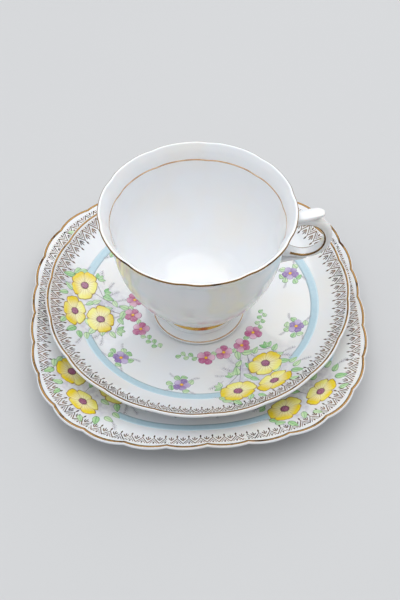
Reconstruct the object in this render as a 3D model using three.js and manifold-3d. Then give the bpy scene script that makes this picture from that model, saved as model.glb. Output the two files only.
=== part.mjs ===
// A bone china trio: a footed teacup with a thumb-rest handle, its lobed saucer and a squared tea plate.
// Millimetres, +Z up. The origin is the centre of the plate's foot ring, on the table. The handle is at +X.
import * as THREE from "three";
import { mergeVertices } from "three/addons/utils/BufferGeometryUtils.js";
import Module from "manifold-3d";

// ---- Driving dimensions ----
const joinGap = 0.3; // clear space left where two fired pieces meet

const plate = {
  halfWidth: 80.4, // to the middle of a side
  squareness: 2.8, // superellipse exponent of the rim
  lobes: 28,
  lobeDepth: 1.1,
  rimHeight: 15.6,
  wellTop: 4.5,
  wellRadius: 50,
  wall: 2.1,
  footRadius: 47.6,
  footWidth: 3,
  footHeight: 2,
  turn: 3, // degrees about Z, from +X to the nearest notch between two lobes
};

const saucer = {
  centre: [0.6, 5], // it stands a little off the plate's centre
  radius: 73.3,
  lobes: 18,
  lobeDepth: 0.6,
  rimWave: 0.35, // how far the edge rises and falls with its lobes
  turn: 14,
  rimHeight: 17.5, // above the saucer's own foot
  wellTop: 3.8,
  wellRadius: 24,
  wall: 2,
  footRadius: 33,
  footWidth: 2.6,
  footHeight: 1.7,
};

const cup = {
  centre: [0.8, 2.7],
  rimRadius: 44.1,
  height: 69.6,
  lobes: 10,
  notchDepth: 0.45, // the lobes are long and flat, with a narrow notch between each two
  notchWidth: 4.5, // degrees
  turn: 11,
  wall: 2,
  lipWall: 1.6,
  floorThickness: 3.3, // of the bowl over the foot
  footTop: 10, // where the foot is joined to the bowl
  neckRadius: 19.3,
  footRadius: 22.6,
};

const handle = {
  width: 5.2, // across the finger loop, with its rounded edges
  edgeRound: 0.9,
};

// Heights at which the stacked pieces stand.
const saucerBase = plate.wellTop + joinGap;
const cupBase = saucerBase + saucer.wellTop + joinGap;

// ---- Shared shapes ----
const wasm = await Module();
wasm.setup();

const vector = ([r, z]) => new THREE.Vector2(r, z);
const smoothstep = (from, to, x) => THREE.MathUtils.smoothstep(x, from, to);

// Points spaced evenly along a smooth curve through the given (radius, height) pairs.
const curve = (pairs, steps) => new THREE.SplineCurve(pairs.map(vector)).getSpacedPoints(steps);

// The same curve moved sideways by a wall thickness, which may change from its first point to its last.
function offset(points, first, last = first) {
  return points.map((point, i) => {
    const ahead = points[Math.min(i + 1, points.length - 1)];
    const behind = points[Math.max(i - 1, 0)];
    const along = ahead.clone().sub(behind).normalize();
    const thickness = THREE.MathUtils.lerp(first, last, i / (points.length - 1));
    return new THREE.Vector2(point.x + along.y * thickness, point.y - along.x * thickness);
  });
}

// The points between two others on a half-round edge, turning anticlockwise.
function roundEdge(from, to, steps = 4) {
  const middle = from.clone().add(to).multiplyScalar(0.5);
  const arm = from.clone().sub(middle);
  return Array.from({ length: steps - 1 }, (_, i) => {
    const angle = (Math.PI * (i + 1)) / steps;
    return arm.clone().rotateAround(new THREE.Vector2(), angle).add(middle);
  });
}

// Turns an outline about +Z, lets `shape` move each (radius, height) by the angle it lies at, then turns the
// whole piece by `turn` degrees.
function turned(outline, segments, shape = (point) => point, turn = 0) {
  const geometry = new THREE.LatheGeometry(outline, segments);
  geometry.rotateX(Math.PI / 2);
  const place = geometry.getAttribute("position");
  for (let i = 0; i < place.count; i++) {
    const angle = Math.atan2(place.getY(i), place.getX(i));
    const radius = Math.hypot(place.getX(i), place.getY(i));
    const moved = shape({ r: radius, z: place.getZ(i) }, angle);
    place.setXYZ(i, moved.r * Math.cos(angle), moved.r * Math.sin(angle), moved.z);
  }
  geometry.rotateZ(THREE.MathUtils.degToRad(turn));
  geometry.computeVertexNormals();
  return geometry;
}

// A row of shallow lobes round an edge: 1 at the middle of each lobe, 0 at the notch between two.
const lobe = (count, angle) => Math.abs(Math.sin((count * angle) / 2)) ** 0.8;

// A row of narrow notches round an edge: 1 at each notch, falling away within a few degrees on both sides.
function notch(count, width, angle) {
  const step = (2 * Math.PI) / count;
  const off = angle - step * Math.round(angle / step);
  return Math.exp(-((off / THREE.MathUtils.degToRad(width)) ** 2));
}

// ---- Solids, for joining and cutting ----
function solid(geometry) {
  const bare = geometry.index ? geometry.toNonIndexed() : geometry.clone();
  bare.deleteAttribute("normal");
  bare.deleteAttribute("uv");
  const merged = mergeVertices(bare, 1e-3);
  return new wasm.Manifold(
    new wasm.Mesh({
      numProp: 3,
      vertProperties: merged.getAttribute("position").array,
      triVerts: new Uint32Array(merged.index.array),
    }),
  );
}

function geometryOf(body) {
  const mesh = body.getMesh();
  const geometry = new THREE.BufferGeometry();
  geometry.setAttribute("position", new THREE.BufferAttribute(mesh.vertProperties, 3));
  geometry.setIndex(new THREE.BufferAttribute(mesh.triVerts, 1));
  geometry.computeVertexNormals();
  return geometry;
}

// ---- Tea plate ----
function plateRim(angle) {
  const n = plate.squareness;
  const reach = Math.abs(Math.cos(angle)) ** n + Math.abs(Math.sin(angle)) ** n;
  return plate.halfWidth / reach ** (1 / n);
}

function plateShape({ r, z }, angle) {
  const squared = smoothstep(plate.wellRadius, plate.halfWidth, r);
  const edge = smoothstep(plate.halfWidth - 14, plate.halfWidth, r);
  const dip = plate.lobeDepth * (1 - lobe(plate.lobes, angle));
  return { r: r * (1 + (plateRim(angle) / plate.halfWidth - 1) * squared) - dip * edge, z };
}

function teaPlate() {
  const { halfWidth, wellTop, wellRadius, rimHeight, wall, footRadius, footWidth, footHeight } = plate;
  const lipRadius = wall / 2;
  const top = curve(
    [
      [wellRadius - 6, wellTop],
      [wellRadius + 2, wellTop + 0.5],
      [wellRadius + 11, wellTop + 2.4],
      [wellRadius + 21, wellTop + 6.4],
      [halfWidth - lipRadius, rimHeight],
    ],
    7,
  );
  const under = offset(top, wall + 0.2, wall - 0.3);
  const floor = wellTop - wall - 0.4;
  const outline = [
    vector([0, floor]),
    vector([footRadius - footWidth - 0.7, floor]),
    vector([footRadius - footWidth, 0]),
    vector([footRadius, 0]),
    vector([footRadius + 0.8, footHeight + 0.3]),
    ...under.filter((point) => point.x > footRadius + 2),
    ...roundEdge(under.at(-1), top.at(-1)),
    ...top.reverse(),
    vector([0, wellTop]),
  ];
  return turned(outline, plate.lobes * 4, plateShape, plate.turn);
}

// ---- Saucer ----
function saucerShape({ r, z }, angle) {
  const edge = smoothstep(saucer.radius - 16, saucer.radius, r);
  const bump = lobe(saucer.lobes, angle) - 1;
  return { r: r + saucer.lobeDepth * bump * edge, z: z + saucer.rimWave * bump * edge };
}

function saucerDish() {
  const { radius, wellTop, wellRadius, rimHeight, wall, footRadius, footWidth, footHeight } = saucer;
  const lipRadius = wall / 2;
  const top = curve(
    [
      [wellRadius + 1.4, wellTop + 0.5],
      [wellRadius + 10, wellTop + 0.7],
      [wellRadius + 20, wellTop + 1.5],
      [wellRadius + 33, wellTop + 4.5],
      [wellRadius + 42, wellTop + 8.8],
      [radius - lipRadius, rimHeight],
    ],
    8,
  );
  const under = offset(top, wall + 0.4, wall - 0.2);
  const floor = wellTop - wall - 0.1;
  const outline = [
    vector([0, floor]),
    vector([footRadius - footWidth - 0.6, floor]),
    vector([footRadius - footWidth, 0]),
    vector([footRadius, 0]),
    vector([footRadius + 0.7, footHeight + 0.3]),
    ...under.filter((point) => point.x > footRadius + 2),
    ...roundEdge(under.at(-1), top.at(-1)),
    ...top.reverse(),
    vector([wellRadius, wellTop]),
    vector([0, wellTop]),
  ];
  return turned(outline, saucer.lobes * 4, saucerShape, saucer.turn);
}

// ---- Cup ----
// Heights here are above the cup's own foot.
function cupShape({ r, z }, angle) {
  const edge = smoothstep(cup.height - 22, cup.height, z);
  return { r: r - cup.notchDepth * notch(cup.lobes, cup.notchWidth, angle) * edge, z };
}

const turnedCup = (outline) => turned(outline, cup.lobes * 6, cupShape, cup.turn);

function cupOutside(steps) {
  const { rimRadius, height, footTop, neckRadius } = cup;
  return curve(
    [
      [neckRadius, footTop + joinGap],
      [neckRadius + 1.9, footTop + 2.2],
      [24.6, 16.8],
      [28.8, 22],
      [32.2, 27.4],
      [35, 33.2],
      [37.3, 40],
      [38.7, 47],
      [39.6, 53.5],
      [40.6, 60],
      [41.9, 65.2],
      [rimRadius, height - 0.6],
    ],
    steps,
  );
}

function cupBowl() {
  const outside = cupOutside(12);
  const inside = offset(outside, -cup.wall - 0.5, -cup.lipWall);
  const clearOfNeck = inside.filter((point) => point.y > cup.footTop + cup.floorThickness);
  const outline = [
    vector([0, cup.footTop + joinGap]),
    ...outside,
    ...roundEdge(outside.at(-1), inside.at(-1)),
    ...clearOfNeck.reverse(),
    vector([8, cup.footTop + cup.floorThickness - 0.4]),
    vector([0, cup.footTop + cup.floorThickness - 0.5]),
  ];
  return turnedCup(outline);
}

function cupFoot() {
  const { footRadius, neckRadius, footTop } = cup;
  const outline = [
    vector([footRadius - 3, 0]),
    vector([footRadius - 0.7, 0]),
    vector([footRadius, 0.7]),
    vector([footRadius - 0.1, 1.5]),
    vector([footRadius - 0.8, 2.2]),
    vector([footRadius - 2.6, 3.6]),
    vector([neckRadius, 4.4]),
    vector([neckRadius + 0.5, 5.4]),
    vector([neckRadius + 0.5, 6.4]),
    vector([neckRadius, 7.6]),
    vector([neckRadius - 0.3, 8.8]),
    vector([neckRadius, footTop]),
    vector([neckRadius - 3.4, footTop]),
    vector([neckRadius - 3.1, 6]),
    vector([neckRadius - 1.8, 2.6]),
    vector([footRadius - 3, 0]),
  ];
  return turned(outline, 36);
}

// The handle's outline, seen from its side as (x, height): a finger loop with a thumb rest on top and a short
// tail below. Both ends run into the bowl, and are cut off by it.
function handleOutline() {
  const outside = curve(
    [
      [34, 62.6],
      [42, 63.8],
      [49, 65.6],
      [53.6, 67.2],
      [56.2, 66.7],
      [56, 64.2],
      [58.6, 60],
      [60.6, 53.6],
      [59.8, 46.6],
      [56.4, 41.2],
      [52.4, 38.9],
      [50, 38.9],
      [48.8, 37.6],
      [43, 37.3],
      [38.9, 36.3],
      [34, 34.4],
    ],
    44,
  );
  const fingerGap = curve(
    [
      [34, 47.6],
      [40, 46.6],
      [42.4, 44],
      [46.4, 41.5],
      [50.6, 41.9],
      [54.6, 45],
      [57.2, 50],
      [57, 55.4],
      [53.8, 59.9],
      [49, 61.6],
      [43, 60.9],
      [34, 59.8],
    ],
    28,
  );
  return new THREE.Shape([...outside, ...fingerGap]);
}

function cupHandle() {
  const { width, edgeRound } = handle;
  const strap = new THREE.ExtrudeGeometry(handleOutline(), {
    depth: width - 2 * edgeRound,
    steps: 1,
    bevelSize: edgeRound,
    bevelThickness: edgeRound,
    bevelOffset: -edgeRound,
    bevelSegments: 2,
  });
  strap.translate(0, 0, edgeRound - width / 2);
  strap.rotateX(Math.PI / 2);
  const bowl = [vector([0, 8]), ...offset(cupOutside(12), joinGap), vector([0, cup.height])];
  return geometryOf(solid(strap).subtract(solid(turnedCup(bowl))));
}

// ---- The set, stacked as it stands ----
const china = { color: 0xebeef3, roughness: 0.12, metalness: 0 };

function piece(name, geometry) {
  const mesh = new THREE.Mesh(geometry, new THREE.MeshStandardMaterial(china));
  mesh.name = name;
  return mesh;
}

const dish = new THREE.Group();
dish.position.set(...saucer.centre, saucerBase);
dish.add(piece("saucer", saucerDish()));

const teacup = new THREE.Group();
teacup.position.set(...cup.centre, cupBase);
teacup.add(piece("cup_bowl", cupBowl()), piece("cup_foot", cupFoot()), piece("cup_handle", cupHandle()));

const trio = new THREE.Group();
trio.add(piece("tea_plate", teaPlate()), dish, teacup);

export default trio;
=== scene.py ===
import math

import bpy
import numpy as np
from mathutils import Matrix, Vector
from mathutils.bvhtree import BVHTree


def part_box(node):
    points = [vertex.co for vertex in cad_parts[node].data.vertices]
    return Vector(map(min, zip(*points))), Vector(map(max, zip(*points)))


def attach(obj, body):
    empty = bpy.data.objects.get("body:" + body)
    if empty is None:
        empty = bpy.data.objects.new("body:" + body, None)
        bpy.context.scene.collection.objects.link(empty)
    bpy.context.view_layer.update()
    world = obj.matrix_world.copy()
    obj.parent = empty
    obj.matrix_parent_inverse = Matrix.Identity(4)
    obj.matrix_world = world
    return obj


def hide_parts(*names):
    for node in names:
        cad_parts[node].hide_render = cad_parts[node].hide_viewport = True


# A bone china trio: footed teacup, lobed saucer and squared tea plate, with printed gold lace borders and
# painted sprays. Lengths below are in millimetres and are turned to metres as each mesh is made.
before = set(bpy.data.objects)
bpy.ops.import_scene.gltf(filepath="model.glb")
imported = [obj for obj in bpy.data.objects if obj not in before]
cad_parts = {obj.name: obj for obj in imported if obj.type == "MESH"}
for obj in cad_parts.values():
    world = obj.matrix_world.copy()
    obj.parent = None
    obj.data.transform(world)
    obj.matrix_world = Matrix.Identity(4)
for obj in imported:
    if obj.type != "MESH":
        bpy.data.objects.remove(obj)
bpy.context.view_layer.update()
MM = 0.001

# ---- Where the pieces stand, from the frame ----


def standing_point(node):
    """The middle of a node's box in plan, at the height of its underside."""
    low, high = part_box(node)
    centre = (low + high) / 2 / MM
    return Vector((centre.x, centre.y, low.z / MM))


PLATE_CENTRE = Vector((0, 0, 0))
SAUCER_CENTRE = standing_point("saucer")
CUP_CENTRE = standing_point("cup_foot")

PLATE = {
    "half_width": 80.3, "squareness": 2.8, "lobes": 28, "lobe_depth": 1.1, "turn": math.radians(3),
    "around": 392, "rim": 15.6, "well_top": 4.5, "well": 50, "wall": 2.1, "foot": 47.6, "foot_width": 3,
}
SAUCER = {
    "radius": 73.3, "lobes": 18, "lobe_depth": 0.6, "wave": 0.35, "turn": math.radians(14),
    "around": 360, "rim": 17.5, "well_top": 3.8, "well": 24, "wall": 2, "foot": 33, "foot_width": 2.6,
}
CUP = {
    "rim": 44.1, "height": 69.4, "lobes": 10, "lobe_depth": 0.45, "notch": math.radians(4.5),
    "turn": math.radians(11), "around": 360, "wall": 2, "lip_wall": 1.6,
    "neck_height": 10, "neck": 19.3, "foot": 22.6,
}

SINK = 0.12  # how far the underside of gilding and enamel lies in the glaze, out of sight
DROP = 0.2  # metres above the table from which motifs are dropped onto a dish
ROUND = 2 * math.pi

# ---- Curves and outlines ----


def run_along(points):
    """How far along a path each of its points lies."""
    return np.concatenate([[0], np.cumsum(np.linalg.norm(np.diff(points, axis=0), axis=1))])


def read_off(points, run, places):
    """The points of a path at the given distances along it."""
    return np.stack([np.interp(places, run, column) for column in points.T], 1)


def spread_over(values, count):
    """A few values spread evenly over so many places."""
    return np.interp(np.linspace(0, 1, count), np.linspace(0, 1, len(values)), values)


def polar(radius, angle):
    return np.stack([radius * np.cos(angle), radius * np.sin(angle)], -1)


def smooth(pairs, count):
    """Points evenly spaced along a uniform Catmull-Rom curve through the given pairs."""
    knots = np.array(pairs, float)
    ends = np.vstack([knots[:1], knots, knots[-1:]])
    t = np.linspace(0, 1, 60, endpoint=False)[:, None]
    dense = []
    for a, b, c, d in zip(ends[:-3], ends[1:-2], ends[2:-1], ends[3:]):
        pull_in, pull_out = (c - a) / 2, (d - b) / 2
        cubic = (2 * b - 2 * c + pull_in + pull_out) * t**3
        dense.append(cubic + (-3 * b + 3 * c - 2 * pull_in - pull_out) * t**2 + pull_in * t + b)
    dense = np.vstack([*dense, knots[-1:]])
    run = run_along(dense)
    return read_off(dense, run, np.linspace(0, run[-1], count))


def directions(path):
    """Unit vectors along a path."""
    along = np.gradient(path, axis=0)
    return along / np.linalg.norm(along, axis=1)[:, None]


def offset(points, first, last=None):
    """The curve moved to its right by a wall thickness that changes evenly from first to last."""
    along = directions(points)
    wall = np.linspace(first, first if last is None else last, len(points))[:, None]
    return points + np.stack([along[:, 1], -along[:, 0]], 1) * wall


def loft_faces(rows, ring):
    """The faces of a closed bar of `rows` rings with `ring` points each, ends included."""
    last = rows * ring - 1
    faces = [tuple(range(ring)), tuple(range(last, last - ring, -1))]
    for i in range(rows - 1):
        for k in range(ring):
            a, b = i * ring + k, i * ring + (k + 1) % ring
            faces.append((a, a + ring, b + ring, b))
    return faces


def round_edge(start, end, steps):
    """A half-round edge between two points, turning anticlockwise."""
    centre = (np.array(start) + end) / 2
    arm = np.array(start) - centre
    angles = np.linspace(0, math.pi, steps + 1)[1:-1]
    turns = [(math.cos(a), math.sin(a)) for a in angles]
    return [centre + [arm[0] * cos - arm[1] * sin, arm[0] * sin + arm[1] * cos] for cos, sin in turns]


def soften(points, reach, steps=4):
    """The corners of an outline rounded off, each over at most the given reach."""
    points = [np.array(p, float) for p in points]
    eased = [points[0]]
    for before, corner, after in zip(points[:-2], points[1:-1], points[2:]):
        to_before, to_after = before - corner, after - corner
        near = corner + to_before * min(0.45, reach / np.linalg.norm(to_before))
        far = corner + to_after * min(0.45, reach / np.linalg.norm(to_after))
        for t in np.linspace(0, 1, steps + 1):
            eased.append((1 - t) ** 2 * near + 2 * t * (1 - t) * corner + t * t * far)
    return np.array([*eased, points[-1]])


def smoothstep(low, high, x):
    t = np.clip((np.asarray(x, float) - low) / (high - low), 0, 1)
    return t * t * (3 - 2 * t)


# ---- Geometry Nodes: small helpers ----


def new_tree(name, inputs):
    tree = bpy.data.node_groups.new(name, "GeometryNodeTree")
    tree.interface.new_socket("Geometry", in_out="INPUT", socket_type="NodeSocketGeometry")
    for label, kind in inputs.items():
        tree.interface.new_socket(label, in_out="INPUT", socket_type="NodeSocket" + kind)
    tree.interface.new_socket("Geometry", in_out="OUTPUT", socket_type="NodeSocketGeometry")
    return tree, tree.nodes.new("NodeGroupInput").outputs


def feed(tree, node, inputs):
    """Gives each named input of a node a value or another node's socket."""
    for key, value in inputs.items():
        if isinstance(value, bpy.types.NodeSocket):
            tree.links.new(value, node.inputs[key])
        else:
            node.inputs[key].default_value = value


def add(tree, kind, inputs=None, **settings):
    node = tree.nodes.new(kind)
    for key, value in settings.items():
        setattr(node, key, value)
    feed(tree, node, inputs or {})
    return node


def maths(tree, operation, *values):
    return add(tree, "ShaderNodeMath", dict(enumerate(values)), operation=operation).outputs[0]


def vectors(tree, operation, a, b):
    inputs = {0: a, "Scale" if operation == "SCALE" else 1: b}
    return add(tree, "ShaderNodeVectorMath", inputs, operation=operation).outputs[0]


def combined(tree, x=0.0, y=0.0, z=0.0):
    return add(tree, "ShaderNodeCombineXYZ", {"X": x, "Y": y, "Z": z}).outputs[0]


def separated(tree, vector):
    """The X, Y and Z sockets of a vector."""
    return tuple(add(tree, "ShaderNodeSeparateXYZ", {"Vector": vector}).outputs)


def position(tree):
    return add(tree, "GeometryNodeInputPosition").outputs[0]


def moved(tree, geometry, places):
    return add(tree, "GeometryNodeSetPosition", {"Geometry": geometry, "Position": places}).outputs[0]


def attribute(tree, name, kind="FLOAT"):
    return add(tree, "GeometryNodeInputNamedAttribute", {"Name": name}, data_type=kind).outputs["Attribute"]


def close_tree(tree, geometry, paint):
    """Ends a tree: smooth shading, realised instances, one material."""
    shaded = add(tree, "GeometryNodeSetShadeSmooth", {"Geometry": geometry}).outputs["Geometry"]
    plain = add(tree, "GeometryNodeRealizeInstances", {"Geometry": shaded}).outputs["Geometry"]
    painted = add(tree, "GeometryNodeSetMaterial", {"Geometry": plain, "Material": paint}).outputs["Geometry"]
    tree.links.new(painted, tree.nodes.new("NodeGroupOutput").inputs["Geometry"])


def keep_result(obj):
    """Turns an object's modifiers into plain mesh."""
    bpy.context.view_layer.update()
    made = bpy.data.meshes.new_from_object(obj.evaluated_get(bpy.context.evaluated_depsgraph_get()))
    obj.modifiers.clear()
    obj.data = made
    made.name = obj.name
    return obj


def grow(obj, tree, values):
    """Runs a tree on an object with the given inputs and keeps the result."""
    modifier = obj.modifiers.new("grow", "NODES")
    modifier.node_group = tree
    for item in tree.interface.items_tree:
        if item.in_out == "INPUT" and item.name in values:
            modifier[item.identifier] = values[item.name]
    return keep_result(obj)


def mesh_object(name, points, faces=(), edges=(), **attributes):
    """A mesh in metres from points in millimetres, with any float or vector attributes on its points."""
    mesh = bpy.data.meshes.new(name)
    mesh.from_pydata([tuple(p) for p in np.asarray(points, float) * MM], list(edges), list(faces))
    for label, values in attributes.items():
        values = np.asarray(values, np.float32)
        kind, field = ("FLOAT", "value") if values.ndim == 1 else ("FLOAT_VECTOR", "vector")
        mesh.attributes.new(label, kind, "POINT").data.foreach_set(field, values.ravel())
    obj = bpy.data.objects.new(name, mesh)
    bpy.context.scene.collection.objects.link(obj)
    return obj


def coated(obj, paint):
    """Shades a mesh smooth and gives it one material."""
    for polygon in obj.data.polygons:
        polygon.use_smooth = True
    obj.data.materials.clear()
    obj.data.materials.append(paint)
    return obj


def settle(obj, body, slot, *nodes):
    """Says which body a piece rides on and which nodes it replaces; `slot`, what it is made of, is not used.
    """
    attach(obj, body)
    if nodes:
        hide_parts(*nodes)
    return obj


# ---- Geometry Nodes: china turned to a rule ----


def lobe_value(tree, lobes, notch, angle):
    """0 at the middle of a lobe and -1 at the notch between two: a row of arcs, or where a notch width is
    given, long flat lobes with a narrow notch of that width."""
    half_lobes = maths(tree, "DIVIDE", lobes, 2.0)
    wave = maths(tree, "ABSOLUTE", maths(tree, "SINE", maths(tree, "MULTIPLY", angle, half_lobes)))
    arcs = maths(tree, "SUBTRACT", maths(tree, "POWER", wave, 0.8), 1.0)
    off = maths(tree, "DIVIDE", maths(tree, "DIVIDE", maths(tree, "ARCSINE", wave), half_lobes), notch)
    fall = maths(tree, "EXPONENT", maths(tree, "MULTIPLY", maths(tree, "MULTIPLY", off, off), -1.0))
    narrow = maths(tree, "MULTIPLY", fall, -1.0)
    is_narrow = maths(tree, "GREATER_THAN", notch, 0.0)
    return maths(tree, "MULTIPLY_ADD", is_narrow, maths(tree, "SUBTRACT", narrow, arcs), arcs)


def squared(tree, angle, squareness):
    """How much further the squared rim reaches at this angle than at the middle of a side."""
    sides = [
        maths(tree, "POWER", maths(tree, "ABSOLUTE", maths(tree, turn, angle)), squareness)
        for turn in ("COSINE", "SINE")
    ]
    return maths(tree, "POWER", maths(tree, "ADD", *sides), maths(tree, "DIVIDE", -1.0, squareness))


def place_round(tree, angle, radius, height, turn):
    turned_by = maths(tree, "ADD", angle, turn)
    x, y = (maths(tree, "MULTIPLY", radius, maths(tree, way, turned_by)) for way in ("COSINE", "SINE"))
    return combined(tree, x, y, height)


def turning_tree():
    """Turns an outline of (radius, 0, height) points about a vertical axis. Each point's 'lobing' and
    'squaring' say how far it follows the lobes and the squared rim."""
    inputs = {"Around": "Int", "Lobes": "Float", "Lobe depth": "Float", "Wave": "Float",
              "Squareness": "Float", "Notch": "Float", "Turn": "Float", "Centre": "Vector",
              "Glaze": "Material"}
    tree, given = new_tree("turned_china", inputs)
    outline = given["Geometry"]
    count = add(tree, "GeometryNodeAttributeDomainSize", {"Geometry": outline}).outputs["Point Count"]
    columns = maths(tree, "ADD", given["Around"], 1.0)
    grid = add(tree, "GeometryNodeMeshGrid", {"Vertices X": columns, "Vertices Y": count}).outputs["Mesh"]
    index = add(tree, "GeometryNodeInputIndex").outputs[0]
    row = maths(tree, "MODULO", index, count)
    column = maths(tree, "FLOOR", maths(tree, "DIVIDE", maths(tree, "ADD", index, 0.5), count))
    angle = maths(tree, "MULTIPLY", maths(tree, "DIVIDE", column, given["Around"]), ROUND)

    def of_outline(value, kind):
        sampled = add(tree, "GeometryNodeSampleIndex", {"Geometry": outline, "Index": row}, data_type=kind)
        tree.links.new(value, sampled.inputs["Value"])
        return sampled.outputs["Value"]

    out, _, up = separated(tree, of_outline(position(tree), "FLOAT_VECTOR"))
    lobing = of_outline(attribute(tree, "lobing"), "FLOAT")
    squaring = of_outline(attribute(tree, "squaring"), "FLOAT")
    lobe = maths(tree, "MULTIPLY", lobe_value(tree, given["Lobes"], given["Notch"], angle), lobing)
    reach = maths(tree, "SUBTRACT", squared(tree, angle, given["Squareness"]), 1.0)
    wide = maths(tree, "MULTIPLY", out, maths(tree, "MULTIPLY_ADD", reach, squaring, 1.0))
    radius = maths(tree, "MULTIPLY_ADD", lobe, given["Lobe depth"], wide)
    height = maths(tree, "MULTIPLY_ADD", lobe, given["Wave"], up)
    around = place_round(tree, angle, radius, height, given["Turn"])
    shaped = moved(tree, grid, vectors(tree, "ADD", around, given["Centre"]))
    joined = add(tree, "GeometryNodeMergeByDistance", {"Geometry": shaped, "Distance": 1e-6}).outputs[0]
    close_tree(tree, joined, given["Glaze"])
    return tree


TURNING = turning_tree()


def turned(name, outline, centre, around, glaze, lobing=None, squaring=None, form=None):
    """A turned piece from its outline, which runs anticlockwise from the axis and back, or closes up."""
    outline = np.array(outline)
    points = np.stack([outline[:, 0], np.zeros(len(outline)), outline[:, 1]], 1)
    edges = [(i, i + 1) for i in range(len(points) - 1)]
    flat = np.zeros(len(points))
    lobing = flat if lobing is None else lobing
    squaring = flat if squaring is None else squaring
    obj = mesh_object(name, points, edges=edges, lobing=lobing, squaring=squaring)
    form = form or {}
    values = {
        "Around": around,
        "Lobes": float(form.get("lobes", 0)),
        "Lobe depth": form.get("lobe_depth", 0) * MM,
        "Wave": form.get("wave", 0) * MM,
        "Squareness": form.get("squareness", 2.0),
        "Notch": form.get("notch", 0.0),
        "Turn": form.get("turn", 0.0),
        "Centre": Vector(centre) * MM,
        "Glaze": glaze,
    }
    return grow(obj, TURNING, values)


def line_on(outline, near, width, proud=0.07, count=7):
    """The outline of a thin line of gold on a turned piece, across the place nearest to (radius, height)."""
    run = run_along(outline)
    fine = np.linspace(0, run[-1], 6000)
    nearest = fine[np.argmin(np.linalg.norm(read_off(outline, run, fine) - near, axis=1))]
    stretch = read_off(outline, run, nearest + np.linspace(-width / 2, width / 2, count))
    crown = offset(stretch, proud)
    crown[0], crown[-1] = offset(stretch, -0.01)[[0, -1]]
    return np.vstack([crown, offset(stretch, -SINK)[::-1], crown[:1]])


# ---- Geometry Nodes: laying motifs on a dish ----


def drape(tree, geometry, dish):
    """Drops each point onto the dish below it; its own height is kept as height above the glaze."""
    x, y, z = separated(tree, position(tree))
    surface = add(tree, "GeometryNodeObjectInfo", {"Object": dish}).outputs["Geometry"]
    cast = add(tree, "GeometryNodeRaycast", {
        "Target Geometry": surface, "Source Position": combined(tree, x, y, DROP),
        "Ray Direction": (0, 0, -1), "Ray Length": 5 * DROP})
    lifted = vectors(tree, "SCALE", cast.outputs["Hit Normal"], z)
    return moved(tree, geometry, vectors(tree, "ADD", cast.outputs["Hit Position"], lifted))


def laying_tree():
    """Lays a flat drawing on a dish as it is."""
    tree, given = new_tree("laid_enamel", {"Dish": "Object", "Paint": "Material"})
    close_tree(tree, drape(tree, given["Geometry"], given["Dish"]), given["Paint"])
    return tree


def tinted(tree, instances, seed):
    """Gives each instance a random 'tint' from 0 to 1 and makes the instances real."""
    chance = add(tree, "FunctionNodeRandomValue", {"Seed": seed}, data_type="FLOAT")
    stored = add(tree, "GeometryNodeStoreNamedAttribute",
                 {"Geometry": instances, "Name": "tint", "Value": chance.outputs[1]},
                 data_type="FLOAT", domain="INSTANCE").outputs[0]
    return add(tree, "GeometryNodeRealizeInstances", {"Geometry": stored}).outputs[0]


def scattering_tree():
    """Sets motifs on points by each point's 'which', 'turn' and 'size', tints them and lays them down."""
    inputs = {"Motifs": "Collection", "Dish": "Object", "Seed": "Int", "Paint": "Material"}
    tree, given = new_tree("scattered_motifs", inputs)
    motifs = add(tree, "GeometryNodeCollectionInfo", {
        "Collection": given["Motifs"], "Separate Children": True, "Reset Children": True}).outputs[0]
    turn = combined(tree, z=attribute(tree, "turn"))
    which = add(tree, "FunctionNodeFloatToInt", {0: attribute(tree, "which")}).outputs[0]
    set_out = add(tree, "GeometryNodeInstanceOnPoints", {
        "Points": given["Geometry"], "Instance": motifs, "Pick Instance": True, "Instance Index": which,
        "Rotation": turn, "Scale": attribute(tree, "size", "FLOAT_VECTOR")}).outputs[0]
    close_tree(tree, drape(tree, tinted(tree, set_out, given["Seed"]), given["Dish"]), given["Paint"])
    return tree


def border_tree():
    """Repeats one unit of a border along a closed guide line and lays it on the dish. In the unit, X runs
    along the edge and Y runs inwards from it."""
    inputs = {"Unit": "Object", "Count": "Int", "Pitch": "Float", "Seed": "Int", "Dish": "Object",
              "Gold": "Material"}
    tree, given = new_tree("lace_border", inputs)
    guide = add(tree, "GeometryNodeMeshToCurve", {"Mesh": given["Geometry"]}).outputs[0]
    step = combined(tree, given["Pitch"])
    row = add(tree, "GeometryNodeMeshLine", {"Count": given["Count"], "Offset": step}).outputs[0]
    unit = add(tree, "GeometryNodeObjectInfo", {"Object": given["Unit"]}).outputs["Geometry"]
    repeated = add(tree, "GeometryNodeInstanceOnPoints", {"Points": row, "Instance": unit}).outputs[0]
    straight = tinted(tree, repeated, given["Seed"])
    x, y, z = separated(tree, position(tree))
    whole = maths(tree, "MULTIPLY", given["Count"], given["Pitch"])
    share = maths(tree, "FRACT", maths(tree, "DIVIDE", x, whole))
    sample = add(tree, "GeometryNodeSampleCurve", {"Curves": guide, "Factor": share}, mode="FACTOR",
                 use_all_curves=True)
    outwards = vectors(tree, "CROSS_PRODUCT", sample.outputs["Tangent"], (0, 0, 1))
    shift = vectors(tree, "SCALE", outwards, maths(tree, "MULTIPLY", y, -1.0))
    bent_x, bent_y, _ = separated(tree, vectors(tree, "ADD", sample.outputs["Position"], shift))
    curved = moved(tree, straight, combined(tree, bent_x, bent_y, z))
    close_tree(tree, drape(tree, curved, given["Dish"]), given["Gold"])
    return tree


LAYING, SCATTERING, BORDER = laying_tree(), scattering_tree(), border_tree()


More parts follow.
